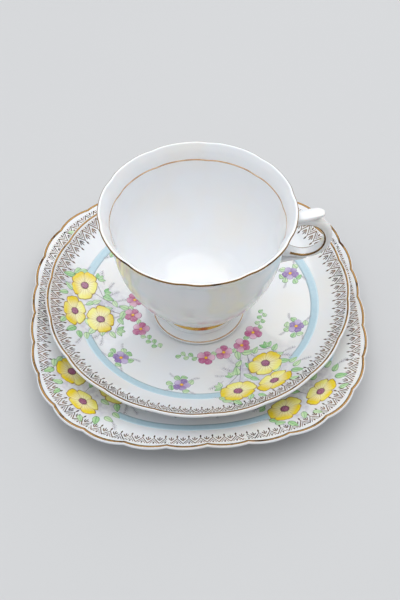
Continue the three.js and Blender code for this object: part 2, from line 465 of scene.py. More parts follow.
class Drawing:
    """Collects thin closed bodies of enamel or gold, drawn flat in millimetres. 'spot' holds how far a point
    lies along and across its stroke or petal and how near its edge; 'shade' says how deep its colour is."""

    def __init__(self):
        self.points, self.faces, self.spot, self.shade = [], [], [], []

    def _body(self, points, faces, spot, shade):
        start = len(self.points)
        self.points += [tuple(p) for p in points]
        self.faces += [tuple(i + start for i in face) for face in faces]
        self.spot += [tuple(s) for s in spot]
        self.shade += [shade] * len(points)

    def pad(self, outline, lift, turn=0.0, place=(0, 0), shade=0.5):
        """A cushion of colour inside an anticlockwise outline drawn along +X, then turned and moved."""
        outline = np.array(outline)
        count = len(outline)
        heart = outline.mean(0)
        low, high = outline.min(0), outline.max(0)
        size = high - low
        cos, sin = math.cos(turn), math.sin(turn)
        rings = [(0.55, lift), (0.87, lift * 0.8), (1.0, -0.01), (1.0, -SINK)]
        flat = [heart] + [heart + (p - heart) * share for share, _ in rings for p in outline] + [heart]
        heights = [lift] + [height for _, height in rings for _ in outline] + [-SINK]
        edges = [0.0] + [share for share, _ in rings for _ in outline] + [1.0]
        points = [(place[0] + x * cos - y * sin, place[1] + x * sin + y * cos, z)
                  for (x, y), z in zip(flat, heights)]
        spot = [((x - low[0]) / size[0], 2 * (y - heart[1]) / size[1], edge)
                for (x, y), edge in zip(flat, edges)]
        faces = [(0, 1 + i, 1 + (i + 1) % count) for i in range(count)]
        for ring in range(len(rings) - 1):
            a, b = 1 + ring * count, 1 + (ring + 1) * count
            faces += [(a + i, b + i, b + (i + 1) % count, a + (i + 1) % count) for i in range(count)]
        last, under = 1 + (len(rings) - 1) * count, 1 + len(rings) * count
        faces += [(under, last + (i + 1) % count, last + i) for i in range(count)]
        self._body(points, faces, spot, shade)

    def stroke(self, path, widths, lift, shade=0.5):
        """A brush line along a path, flat on top, with its width at each point."""
        path = np.array(path, float)
        along = directions(path)
        side = np.stack([-along[:, 1], along[:, 0]], 1) * spread_over(widths, len(path))[:, None] / 2
        points, spot = [], []
        for i, (p, s) in enumerate(zip(path, side)):
            t = i / (len(path) - 1)
            points += [(*(p - s), -0.05), (*(p + s), -0.05), (*(p + s * 0.6), lift), (*(p - s * 0.6), lift)]
            spot += [(t, -1, 1), (t, 1, 1), (t, 0.6, 0), (t, -0.6, 0)]
        faces = [(0, 1, 2, 3), tuple(range(len(points) - 1, len(points) - 5, -1))]
        for i in range(0, len(points) - 4, 4):
            faces += [(i + a, i + b, i + 4 + b, i + 4 + a) for a, b in ((0, 3), (3, 2), (2, 1), (1, 0))]
        self._body(points, faces, spot, shade)

    def ribbon(self, path, width, lift, across=4, shade=0.5):
        """A flat band of colour along a path."""
        path = np.array(path, float)
        along = directions(path)
        side = np.stack([-along[:, 1], along[:, 0]], 1)
        shares = np.linspace(-1, 1, across + 1)
        columns = [(-1, -SINK)] + [(u, -0.01 if abs(u) == 1 else lift) for u in shares] + [(1, -SINK)]
        points, spot = [], []
        for i, (p, s) in enumerate(zip(path, side)):
            points += [(*(p + s * u * width / 2), z) for u, z in columns]
            spot += [(i / (len(path) - 1), u, abs(u)) for u, _ in columns]
        self._body(points, loft_faces(len(path), len(columns)), spot, shade)

    def made(self, name):
        return mesh_object(name, self.points, self.faces, spot=self.spot, shade=self.shade)


def lay(name, drawing, dish, paint):
    return grow(drawing.made(name), LAYING, {"Dish": dish, "Paint": paint})


def scatter(name, motifs, marks, dish, paint, seed):
    """Sets the motifs on marks, each (x, y, turn, length, breadth, which)."""
    shelf = bpy.data.collections.new("motifs")
    bpy.context.scene.collection.children.link(shelf)
    patterns = [motif.made(f"motif_{i}") for i, motif in enumerate(motifs)]
    for pattern in patterns:
        bpy.context.scene.collection.objects.unlink(pattern)
        shelf.objects.link(pattern)
    marks = np.array(marks, float)
    places = np.stack([marks[:, 0], marks[:, 1], np.zeros(len(marks))], 1)
    size = np.stack([marks[:, 3], marks[:, 4], np.ones(len(marks))], 1)
    obj = mesh_object(name, places, turn=marks[:, 2], size=size, which=marks[:, 5])
    grow(obj, SCATTERING, {"Motifs": shelf, "Dish": dish, "Seed": seed, "Paint": paint})
    for pattern in patterns:
        bpy.data.objects.remove(pattern)
    bpy.data.collections.remove(shelf)
    return obj


def lace_border(name, unit, guide, count, pitch, dish, gold, seed):
    pattern = unit.made("lace_unit")
    points = np.column_stack([guide, np.zeros(len(guide))])
    edges = [(i, (i + 1) % len(guide)) for i in range(len(guide))]
    obj = mesh_object(name, points, edges=edges)
    grow(obj, BORDER, {"Unit": pattern, "Count": count, "Pitch": pitch * MM, "Seed": seed, "Dish": dish,
                       "Gold": gold})
    bpy.data.objects.remove(pattern)
    return obj


# ---- Materials ----


def palette(red, green, blue):
    """A colour as it is seen, 0 to 255, turned to linear light."""
    return tuple(c / 12.92 if c <= 0.04045 else ((c + 0.055) / 1.055) ** 2.4
                 for c in (red / 255, green / 255, blue / 255))


def new_material(name):
    material = bpy.data.materials.new(name)
    material.use_nodes = True
    nodes = material.node_tree.nodes
    return material, material.node_tree, nodes["Principled BSDF"]


def noise(tree, scale, detail=2.0, roughness=0.5):
    where = add(tree, "ShaderNodeTexCoord").outputs["Object"]
    inputs = {"Vector": where, "Scale": scale, "Detail": detail, "Roughness": roughness}
    return add(tree, "ShaderNodeTexNoise", inputs).outputs["Fac"]


def mixed(tree, factor, a, b):
    """Colour a where the factor is 0 and b where it is 1; each is a socket or three numbers."""
    a, b = (colour if isinstance(colour, bpy.types.NodeSocket) else (*colour, 1) for colour in (a, b))
    return add(tree, "ShaderNodeMix", {"Factor": factor, 6: a, 7: b}, data_type="RGBA").outputs[2]


def bump(tree, height, strength, distance):
    inputs = {"Height": height, "Strength": strength, "Distance": distance}
    return add(tree, "ShaderNodeBump", inputs).outputs["Normal"]


def remap(tree, value, low, high, to_low=0.0, to_high=1.0):
    inputs = {"Value": value, "From Min": low, "From Max": high, "To Min": to_low, "To Max": to_high}
    return add(tree, "ShaderNodeMapRange", inputs).outputs["Result"]


def china_material(name, body_colour, warm_colour):
    """Bone china under clear glaze: faint warm clouding, a slow ripple and a few pinholes."""
    material, tree, shader = new_material(name)
    cloud = noise(tree, 38, 3)
    colour = mixed(tree, remap(tree, cloud, 0.42, 0.72), body_colour, warm_colour)
    wash = add(tree, "ShaderNodeAttribute", attribute_name="wash").outputs["Fac"]
    hatch = remap(tree, noise(tree, 420, 4, 0.6), 0.38, 0.62, 0.25, 0.95)
    colour = mixed(tree, maths(tree, "MULTIPLY", wash, hatch), colour, palette(190, 186, 201))
    speck = noise(tree, 1400, 1)
    colour = mixed(tree, remap(tree, speck, 0.79, 0.83, 0, 0.3), colour, palette(176, 168, 160))
    feed(tree, shader, {
        "Base Color": colour, "Roughness": remap(tree, noise(tree, 120, 4), 0.3, 0.7, 0.06, 0.14),
        "Normal": bump(tree, noise(tree, 55, 2), 0.12, 0.0006), "IOR": 1.52,
        "Coat Weight": 0.35, "Coat Roughness": 0.04, "Subsurface Weight": 0.06, "Subsurface Scale": 0.003})
    return material


def gilding_material(name, bright, worn, wear, metal=0.92):
    """Burnished gold that has worn thin and brown in places."""
    material, tree, shader = new_material(name)
    patches = noise(tree, 95, 4, 0.65)
    scratches = noise(tree, 1900, 3)
    colour = mixed(tree, remap(tree, patches, wear, wear + 0.14), bright, worn)
    colour = mixed(tree, remap(tree, scratches, 0.55, 0.75, 0, 0.5), colour, worn)
    feed(tree, shader, {
        "Base Color": colour, "Roughness": remap(tree, patches, 0.3, 0.8, 0.12, 0.34),
        "Normal": bump(tree, scratches, 0.15, 0.0002), "Metallic": metal})
    return material


def enamel_material(name, painted, chalk=0.22):
    """Glossy enamel: `painted` works out its colour from the drawing's own attributes; fine brushwork lets
    the white of the china through."""
    material, tree, shader = new_material(name)
    spot, shade, tint = (add(tree, "ShaderNodeAttribute", attribute_name=label).outputs
                         for label in ("spot", "shade", "tint"))
    colour = painted(tree, *separated(tree, spot["Vector"]), shade["Fac"], tint["Fac"])
    brushwork = noise(tree, 1100, 3)
    colour = mixed(tree, remap(tree, brushwork, 0.42, 0.72, 0, chalk), colour, palette(236, 236, 234))
    feed(tree, shader, {
        "Base Color": colour, "Roughness": remap(tree, brushwork, 0.3, 0.7, 0.14, 0.26),
        "Coat Weight": 0.3, "Coat Roughness": 0.06})
    return material


def yellow_paint(tree, along, across, edge, shade, tint):
    """Lemon petals that pale to cream, veined from the base, with a fine ochre outline."""
    depth = maths(tree, "ADD", shade, maths(tree, "MULTIPLY", tint, 0.15))
    depth = maths(tree, "ADD", depth, remap(tree, across, -1, 1, -0.32, 0.32))
    colour = mixed(tree, remap(tree, depth, 0.1, 0.8), palette(246, 240, 128), palette(238, 210, 0))
    colour = mixed(tree, remap(tree, along, 0.72, 0.3, 0, 0.75), colour, palette(250, 245, 200))
    angle = maths(tree, "DIVIDE", across, maths(tree, "ADD", along, 0.25))
    rays = maths(tree, "SINE", maths(tree, "MULTIPLY", angle, 13))
    fade = remap(tree, along, 0.75, 0.3, 0, 1)
    veins = maths(tree, "MULTIPLY", remap(tree, rays, 0.55, 0.95, 0, 0.4), fade)
    colour = mixed(tree, veins, colour, palette(190, 130, 30))
    return mixed(tree, remap(tree, edge, 0.82, 0.93, 0, 0.85), colour, palette(150, 104, 34))


def plum_paint(tree, along, across, edge, shade, tint):
    """The flowers' plum hearts, stippled and darker towards the rim."""
    stipple = noise(tree, 2600, 2)
    colour = mixed(tree, remap(tree, stipple, 0.4, 0.62), palette(132, 66, 100), palette(188, 118, 156))
    return mixed(tree, remap(tree, edge, 0.6, 0.9, 0, 0.9), colour, palette(84, 34, 44))


def blossom_paint(deep, pale, outline):
    """Small blossoms, each petal deep or pale, with a drawn outline."""

    def painted(tree, along, across, edge, shade, tint):
        depth = maths(tree, "ADD", shade, remap(tree, along, 0, 1, 0.3, -0.3))
        depth = maths(tree, "ADD", depth, remap(tree, tint, 0, 1, -0.15, 0.15))
        colour = mixed(tree, remap(tree, depth, 0.05, 0.9), pale, deep)
        return mixed(tree, remap(tree, edge, 0.85, 0.97, 0, 0.8), colour, outline)

    return painted


def leaf_paint(tree, along, across, edge, shade, tint):
    """Leaves from pale to fresh green, with a midrib and a darker edge."""
    depth = maths(tree, "ADD", shade, remap(tree, tint, 0, 1, -0.25, 0.25))
    depth = maths(tree, "ADD", depth, remap(tree, across, -1, 1, -0.2, 0.2))
    colour = mixed(tree, remap(tree, depth, 0.1, 0.9), palette(206, 230, 184), palette(112, 190, 106))
    rib = remap(tree, maths(tree, "ABSOLUTE", across), 0.16, 0.05, 0, 0.7)
    colour = mixed(tree, rib, colour, palette(84, 148, 96))
    return mixed(tree, remap(tree, edge, 0.78, 0.9, 0, 0.8), colour, palette(88, 140, 96))


def line_paint(light, dark):
    """Drawn stems and ferns; their shade picks between a light and a dark ink."""

    def painted(tree, along, across, edge, shade, tint):
        return mixed(tree, shade, light, dark)

    return painted


def band_paint(tree, along, across, edge, shade, tint):
    """A pale blue band, thinner at its edges and clouded along its length."""
    cloud = noise(tree, 260, 3)
    clouds = remap(tree, cloud, 0.35, 0.7, 0, 0.4)
    colour = mixed(tree, clouds, palette(180, 210, 223), palette(196, 220, 230))
    return mixed(tree, remap(tree, edge, 0.6, 1.0, 0, 0.6), colour, palette(222, 231, 236))


def eye_paint(tree, along, across, edge, shade, tint):
    return mixed(tree, remap(tree, edge, 0.45, 0.95), palette(246, 200, 48), palette(206, 104, 36))


CHINA = china_material("bone_china_glaze", palette(236, 238, 241), palette(238, 236, 232))
RIM_GOLD = gilding_material("rim_gilding", palette(156, 120, 74), palette(70, 46, 28), 0.52)
BAND_GOLD = gilding_material("band_gilding", palette(236, 196, 96), palette(196, 112, 52), 0.5, 0.5)
THIN_GOLD = gilding_material("thin_gilding", palette(226, 190, 150), palette(196, 150, 108), 0.45, 0.4)
LACE_GOLD = gilding_material("lace_gilding", palette(132, 98, 68), palette(62, 48, 40), 0.49, 0.55)
YELLOW = enamel_material("yellow_petal_enamel", yellow_paint, 0.12)
PLUM = enamel_material("plum_heart_enamel", plum_paint, 0.1)
PINK = enamel_material("pink_petal_enamel", blossom_paint(
    palette(190, 92, 142), palette(236, 190, 214), palette(128, 48, 92)))
MAUVE = enamel_material("mauve_petal_enamel", blossom_paint(
    palette(146, 114, 176), palette(204, 188, 222), palette(92, 70, 122)))
GREEN = enamel_material("leaf_green_enamel", leaf_paint)
INK = enamel_material("stem_enamel", line_paint(palette(206, 204, 214), palette(128, 120, 130)), 0.3)
BLUE = enamel_material("blue_band_enamel", band_paint, 0.15)
EYE = enamel_material("blossom_eye_enamel", eye_paint, 0.05)

# ---- The tea plate and the saucer ----


def dish_outline(top, wall_in, wall_out, foot, foot_width, floor, shoulder):
    """A dish's outline, from the middle of its underside over the foot ring and the half-round lip to the
    middle of its face; and how many of its points come before the lip."""
    under = offset(top, wall_in, wall_out)
    under = under[under[:, 0] > foot + 3]
    ring = soften([(0, floor), (foot - foot_width - 0.7, floor), (foot - foot_width, 0), (foot, 0),
                   (foot + 0.8, shoulder), under[0]], 0.5)
    lip = round_edge(under[-1], top[-1], 10)
    inner = [(x, top[0][1]) for x in np.linspace(0, top[0][0], 14)[:-1]]
    return np.vstack([ring[:-1], under, lip, top[::-1], inner[::-1]]), len(ring) - 1 + len(under)


plate_top = smooth(
    [(PLATE["well"] - 6, PLATE["well_top"]), (PLATE["well"] + 2, 5), (PLATE["well"] + 11, 6.9),
     (PLATE["well"] + 21, 10.9), (PLATE["half_width"] - PLATE["wall"] / 2, PLATE["rim"])], 40)
plate_outline, _ = dish_outline(
    plate_top, PLATE["wall"] + 0.2, PLATE["wall"] - 0.3, PLATE["foot"], PLATE["foot_width"], 2.0, 2.3)


def plate_following(radius):
    lobing = smoothstep(PLATE["half_width"] - 14, PLATE["half_width"], radius)
    return lobing, smoothstep(PLATE["well"], PLATE["half_width"], radius)


tea_plate = turned("tea_plate_china", plate_outline, PLATE_CENTRE, PLATE["around"], CHINA,
                   *plate_following(plate_outline[:, 0]), PLATE)
settle(tea_plate, "plate", "bone_china", "tea_plate")

well = SAUCER["well"]
saucer_top = smooth(
    [(well + 1.4, 4.3), (well + 10, 4.5), (well + 20, 5.3), (well + 33, 8.3), (well + 42, 12.6),
     (SAUCER["radius"] - SAUCER["wall"] / 2, SAUCER["rim"])], 44)
well_floor = [(well - 2, SAUCER["well_top"]), (well, SAUCER["well_top"]), saucer_top[0]]
saucer_face = np.vstack([soften(well_floor, 0.6)[:-1], saucer_top])
saucer_outline, saucer_lip = dish_outline(
    saucer_top, SAUCER["wall"] + 0.4, SAUCER["wall"] - 0.2, SAUCER["foot"], SAUCER["foot_width"], 1.7, 2.0)
saucer_outline = np.vstack([
    saucer_outline[: saucer_lip + 9 + len(saucer_top)],
    saucer_face[::-1][len(saucer_top):],
    [(x, SAUCER["well_top"]) for x in np.linspace(well - 2, 0, 10)[1:]],
])


def saucer_following(radius):
    return smoothstep(SAUCER["radius"] - 16, SAUCER["radius"], radius) + 0.12 * smoothstep(36, 57, radius)


saucer = turned("saucer_china", saucer_outline, SAUCER_CENTRE, SAUCER["around"], CHINA,
                saucer_following(saucer_outline[:, 0]), None, SAUCER)
settle(saucer, "saucer", "bone_china", "saucer")

# ---- The cup's bowl and foot ----

neck_height, neck = CUP["neck_height"], CUP["neck"]
cup_outside = smooth(
    [(neck, neck_height + 0.3), (neck + 1.9, 12.2), (24.6, 16.8), (28.8, 22), (32.2, 27.4), (35, 33.2),
     (37.3, 40), (38.7, 47), (39.6, 53.5), (40.6, 60), (41.9, 65.2), (CUP["rim"], CUP["height"] - 0.6)], 90)
cup_inside = offset(cup_outside, -CUP["wall"] - 0.5, -CUP["lip_wall"])
cup_lip = round_edge(cup_outside[-1], cup_inside[-1], 10)
inner_wall = cup_inside[cup_inside[:, 1] > neck_height + 9.6]
bowl_floor = smooth([inner_wall[0], (20.2, 16.9), (16, 14.6), (10.5, 13.3), (5, 12.85), (0, 12.8)], 30)[1:]
cup_outline = np.vstack([
    [(x, neck_height + 0.3) for x in np.linspace(0, neck - 0.6, 8)],
    cup_outside, cup_lip, inner_wall[::-1], bowl_floor,
])


def cup_following(height):
    return smoothstep(CUP["height"] - 22, CUP["height"], height)


cup_bowl = turned("cup_bowl_china", cup_outline, CUP_CENTRE, CUP["around"], CHINA,
                  cup_following(cup_outline[:, 1]), None, CUP)
settle(cup_bowl, "cup", "bone_china", "cup_bowl")

foot = CUP["foot"]
foot_outline = soften(
    [(foot - 2, 0), (foot - 0.7, 0), (foot, 0.7), (foot - 0.1, 1.5), (foot - 0.8, 2.2), (foot - 2.6, 3.6),
     (neck, 4.4), (neck + 0.5, 5.4), (neck + 0.5, 6.4), (neck, 7.6), (neck - 0.3, 8.8),
     (neck, neck_height + 0.3), (neck - 3.4, neck_height + 0.3), (neck - 3.1, 6), (neck - 1.8, 2.6),
     (foot - 3, 0), (foot - 2, 0)], 0.8)
cup_foot = turned("cup_foot_china", foot_outline, CUP_CENTRE, 192, CHINA)
settle(cup_foot, "cup", "bone_china", "cup_foot")

# ---- The handle ----


STRAP_SQUARENESS = 0.62  # 1 gives an oval section, less a squarer one


def strap(stations, count=60, sides=22):
    """A closed strap swept in the handle's plane through stations (x, height, depth in that plane, width)."""
    rows = smooth(stations, count)
    along = directions(rows[:, :2])
    angles = np.linspace(0, ROUND, sides, endpoint=False)
    flat = [(np.sign(f(angles)) * np.abs(f(angles)) ** STRAP_SQUARENESS) / 2 for f in (np.cos, np.sin)]
    points = []
    for (x, height, depth, width), (ax, az) in zip(rows, along):
        points += [(x + az * depth * u, width * v, height - ax * depth * u) for u, v in zip(*flat)]
    faces = [tuple(range(sides))[::-1], tuple(range(len(points) - sides, len(points)))]
    for i in range(count - 1):
        for k in range(sides):
            a, b = i * sides + k, i * sides + (k + 1) % sides
            faces.append((a, b, b + sides, a + sides))
    return points, faces


LOOP = [
    (36, 61.8, 6.4, 8.0), (39.5, 62.0, 5.0, 6.4), (44, 62.0, 4.2, 5.4), (49, 62.4, 4.2, 5.0),
    (53.2, 61.3, 4.4, 5.0), (56.4, 58.5, 4.4, 5.1), (58.3, 54.4, 4.3, 5.2), (58.5, 50.0, 4.0, 5.2),
    (57.1, 45.9, 3.5, 5.2), (53.8, 42.4, 2.8, 5.1), (49.9, 40.9, 2.3, 5.0), (46.4, 40.9, 2.3, 5.0),
    (43, 41.8, 2.9, 5.4), (39.6, 43, 4.4, 6.2), (36, 43.5, 7, 7.6),
]
THUMB_REST = [
    (38, 63.0, 3.0, 5.4), (44, 63.8, 2.9, 6.2), (49, 65.1, 2.7, 6.6), (52.8, 66.3, 2.4, 6.0),
    (55, 66.5, 1.9, 4.6), (56.2, 66.4, 1.2, 2.4),
]
TAIL = [
    (36, 36.4, 3.4, 5.2), (40.5, 37.6, 2.2, 4.6), (45, 38.1, 1.6, 4.2), (48, 38.3, 1.3, 3.4),
    (50, 38.4, 0.8, 2.0),
]


def cup_handle():
    """The strap loop, its thumb rest and its tail, luted into one."""
    points, faces = [], []
    for stations in (LOOP, THUMB_REST, TAIL):
        part_points, part_faces = strap(stations)
        faces += [tuple(i + len(points) for i in face) for face in part_faces]
        points += part_points
    points = np.array(points) + CUP_CENTRE
    obj = mesh_object("cup_handle_china", points, faces)
    joined = obj.modifiers.new("join", "REMESH")
    joined.mode, joined.voxel_size = "VOXEL", 0.28 * MM
    mesh = keep_result(obj).data
    wall_x, wall_z = cup_outside[:, 0] - 0.8, cup_outside[:, 1]
    for vertex in mesh.vertices:
        place = vertex.co / MM - CUP_CENTRE
        reach = math.hypot(place.x, place.y)
        least = np.interp(place.z, wall_z, wall_x)
        if reach < least:
            place.x, place.y = place.x * least / reach, place.y * least / reach
            vertex.co = (place + CUP_CENTRE) * MM
    return coated(obj, CHINA)


handle = settle(cup_handle(), "cup", "bone_china", "cup_handle")


def inlay(name, surface, path, widths, paint, proud=0.06):
    """A thin line of gold that follows a surface: each point across it goes to the nearest place there."""
    tree = BVHTree.FromPolygons([v.co / MM for v in surface.data.vertices],
                                [tuple(p.vertices) for p in surface.data.polygons])
    path = smooth(path[::5], 90)
    along = np.gradient(path, axis=0)
    shares = (-1, -0.55, 0, 0.55, 1)
    points = []
    for p, a, width in zip(path, along, spread_over(widths, len(path))):
        place, normal, _, _ = tree.find_nearest(Vector(p) + CUP_CENTRE)
        side = Vector(a).cross(normal).normalized() * width / 2
        found = [tree.find_nearest(place + side * share)[:2] for share in shares]
        points += [q + n * (proud if abs(share) < 1 else -0.02) for share, (q, n) in zip(shares, found)]
        points += [q - n * SINK for q, n in found[::-1]]
    return coated(mesh_object(name, points, loft_faces(len(path), 2 * len(shares))), paint)


def edge_path(stations, across, depth_share, first, last):
    """A path along a strap: `across` and `depth_share` say how far out across its width and its depth, from
    -1 to 1."""
    rows = smooth(stations, 120)
    along = directions(rows[:, :2])
    share = depth_share * rows[:, 2] / 2
    out, up = rows[:, 0] + along[:, 1] * share, rows[:, 1] - along[:, 0] * share
    return np.stack([out, across * rows[:, 3] / 2, up], 1)[first:last]


for across, label in ((-1, "front"), (1, "back")):
    inner = edge_path(LOOP, across * 0.92, 0.66, 20, 106)
    line = inlay(f"handle_{label}_line", handle, inner, (0.5, 0.6, 1.0, 1.15, 1.1, 1.3, 1.5, 1.4), RIM_GOLD)
    settle(line, "cup", "gilding")
    lower = edge_path(TAIL, across * 0.8, 0.7, 30, 116)
    line = inlay(f"handle_{label}_tail_line", handle, lower, (0.5, 0.6, 0.5), THIN_GOLD)
    settle(line, "cup", "gilding")

# ---- Gilded lines on the turned pieces ----


def gilded_line(name, outline, near, width, centre, body, gold, lobing=None, squaring=None, form=None):
    line = line_on(outline, near, width)
    rules = [rule(line) if rule else None for rule in (lobing, squaring)]
    obj = turned(name, line, centre, (form or CUP)["around"], gold, *rules, form)
    return settle(obj, body, "gilding")


def cup_line(name, near, width, gold):
    return gilded_line(name, cup_outline, near, width, CUP_CENTRE, "cup", gold,
                       lambda line: cup_following(line[:, 1]), None, CUP)


cup_line("cup_rim_gold", cup_lip[2], 1.0, RIM_GOLD)
cup_line("cup_inner_line", (38.5, 62.8), 0.8, THIN_GOLD)
gilded_line("cup_neck_band", foot_outline, (neck, 8.3), 1.9, CUP_CENTRE, "cup", BAND_GOLD)
gilded_line("cup_foot_line", foot_outline, (foot - 0.5, 1.9), 0.6, CUP_CENTRE, "cup", THIN_GOLD)
gilded_line("saucer_edge_gold", saucer_outline, saucer_top[-1] + (0.1, 0.4), 1.0, SAUCER_CENTRE, "saucer",
            RIM_GOLD, lambda line: saucer_following(line[:, 0]), None, SAUCER)
gilded_line("tea_plate_edge_gold", plate_outline, plate_top[-1] + (0.1, 0.4), 1.15, PLATE_CENTRE, "plate",
            RIM_GOLD, lambda line: plate_following(line[:, 0])[0],
            lambda line: plate_following(line[:, 0])[1], PLATE)

# ---- Lace borders ----


def lace_unit(pitch):
    """One repeat of the border: a double chevron over a bead and under a spire, and a fan of three drops
    beside it. X runs along the edge and Y inwards from it."""
    half = pitch / 2
    unit = Drawing()
    unit.stroke([(-half, 0.5), (0, 4.3), (half, 0.5)], (0.6, 0.66, 0.6), 0.05)
    unit.stroke([(-half + 1, 0.4), (0, 2.8), (half - 1, 0.4)], (0.42, 0.52, 0.42), 0.045)
    unit.stroke([(0, 0.4), (0, 1.0), (0, 1.8)], (0.6, 1.05, 0.2), 0.05)
    unit.stroke([(0, 4.0), (0, 5.0), (0, 5.8), (0, 6.7)], (0.5, 0.42, 1.2, 0.2), 0.055)
    for lean, tip in ((-1.1, 4.7), (0, 5.4), (1.1, 4.7)):
        root, swell = (half + lean * 0.12, 2.7), (half + lean * 0.8, tip - 0.7)
        unit.stroke([root, swell, (half + lean, tip)], (0.25, 0.75, 0.35), 0.045)
    return unit


ANGLES = np.linspace(0, ROUND, 720, endpoint=False)
LACE_PITCH = 5.3  # wished for; each border takes the nearest pitch that closes
LACE_SEED = 11


def plate_rim(angle):
    """The plate's squared, un-lobed rim radius at an angle measured from its own sides."""
    n = PLATE["squareness"]
    return PLATE["half_width"] / (np.abs(np.cos(angle)) ** n + np.abs(np.sin(angle)) ** n) ** (1 / n)


def plate_place(radius, angle):
    """Where a point of the plate's round plan goes once it is squared and turned."""
    squaring = smoothstep(PLATE["well"], PLATE["half_width"], radius)
    reach = radius * (1 + (plate_rim(angle) / PLATE["half_width"] - 1) * squaring)
    return polar(reach, np.asarray(angle) + PLATE["turn"])


def saucer_place(radius, angle):
    return polar(radius, angle) + SAUCER_CENTRE.xy


for name, body, dish, place, edge in (
    ("saucer", "saucer", saucer, saucer_place, SAUCER["radius"] - 1.6),
    ("tea_plate", "plate", tea_plate, plate_place, PLATE["half_width"] - 2.6),
):
    guide = place(np.full(len(ANGLES), edge), ANGLES)
    length = np.linalg.norm(np.roll(guide, -1, axis=0) - guide, axis=1).sum()
    count = round(length / LACE_PITCH)
    pitch = length / count
    lace = lace_border(f"{name}_lace", lace_unit(pitch), guide, count, pitch, dish, LACE_GOLD, LACE_SEED)
    settle(lace, body, "gilding")

# ---- Painted sprays ----


def petal_outline(breadth, notch, steps, start=0.1):
    """A petal along +X from near the flower's heart to 1, broad at the tip, with a shallow notch."""
    middle, reach = (1 + start) / 2, (1 - start) / 2
    angles = np.linspace(-math.pi, math.pi, steps, endpoint=False)
    x = middle + (reach + 0.02 * np.cos(9 * angles)) * np.cos(angles)
    x -= notch * np.exp(-((angles / 0.45) ** 2))
    return np.stack([x, breadth * np.sin(angles) * (0.78 + 0.3 * np.cos(angles))], 1)


def leaf_outline(breadth, steps=14):
    angles = np.linspace(-math.pi, math.pi, steps, endpoint=False)
    x = np.cos(angles)
    return np.stack([x, breadth * np.sin(angles) * (1 - 0.4 * x) * (1.001 - x**2) ** 0.12], 1)


def flower(petals, breadth, shades, spin, lift, notch, steps):
    """A flower of radius 1 with overlapping petals, each a little above the last."""
    drawing = Drawing()
    order = list(range(0, petals, 2)) + list(range(1, petals, 2))
    for layer, i in enumerate(order):
        wobble = 1 + 0.06 * math.sin(2.3 * i + spin)
        outline = petal_outline(breadth, notch, steps) * wobble
        drawing.pad(outline, lift + 0.02 * layer, spin + ROUND * i / petals, shade=shades[i % len(shades)])
    return drawing


def disc(lift, steps, wave=0.0, waves=18):
    """A disc of radius 1 with a wavy edge."""
    angles = np.linspace(0, ROUND, steps, endpoint=False)
    drawing = Drawing()
    drawing.pad(polar(1 + wave * np.cos(waves * angles), angles), lift)
    return drawing


def leaf_drawing(breadth, turns=(0,)):
    """A single leaf of half length 1, or a sprig of leaves that grow from one point."""
    drawing = Drawing()
    for layer, turn in enumerate(turns):
        size = 1.0 if len(turns) == 1 else 0.62
        back = 0.0 if len(turns) == 1 else size
        middle = (back * math.cos(turn), back * math.sin(turn))
        drawing.pad(leaf_outline(breadth) * size, 0.08 + 0.02 * layer, turn, middle,
                    shade=0.35 + 0.3 * (layer % 2))
    return drawing


def fern_drawing():
    """A fern of radius 1: a bent rib with fine paired strokes."""
    drawing = Drawing()
    rib = smooth([(-1, 0), (-0.3, 0.08), (0.4, 0.05), (1, -0.08)], 9)
    drawing.stroke(rib, (0.07, 0.05, 0.03), 0.05, shade=0.5)
    for i, (x, y) in enumerate(rib[1:-1]):
        reach = 0.42 * math.sin(math.pi * (i + 1.2) / 9.5)
        for side in (-1, 1):
            tip = (x + reach * 0.75, y + side * reach * 0.7)
            drawing.stroke([(x, y), tip], (0.12, 0.03), 0.04, shade=0.2 + 0.35 * (i % 2))
    return drawing


FLOWERS = [
    flower(5, 0.6, (0.0, 0.75, 1.0, 0.3, 0.0), 0.5, 0.1, 0.05, 24),
    flower(5, 0.58, (0.9, 0.15, 0.0, 1.0, 0.6), 1.1, 0.1, 0.06, 24),
    flower(5, 0.62, (0.2, 0.0, 0.7, 1.0, 0.9), 1.9, 0.1, 0.05, 24),
]
BLOSSOMS = [
    flower(5, 0.54, (0.95, 0.1, 0.75, 0.3, 1.0), 0.3, 0.08, 0.0, 14),
    flower(5, 0.54, (0.3, 1.0, 0.1, 0.85, 0.6), 0.8, 0.08, 0.0, 14),
]
LEAF_KINDS = [leaf_drawing(0.5), leaf_drawing(0.6, (-0.8, 0.8, 0)), leaf_drawing(0.72)]

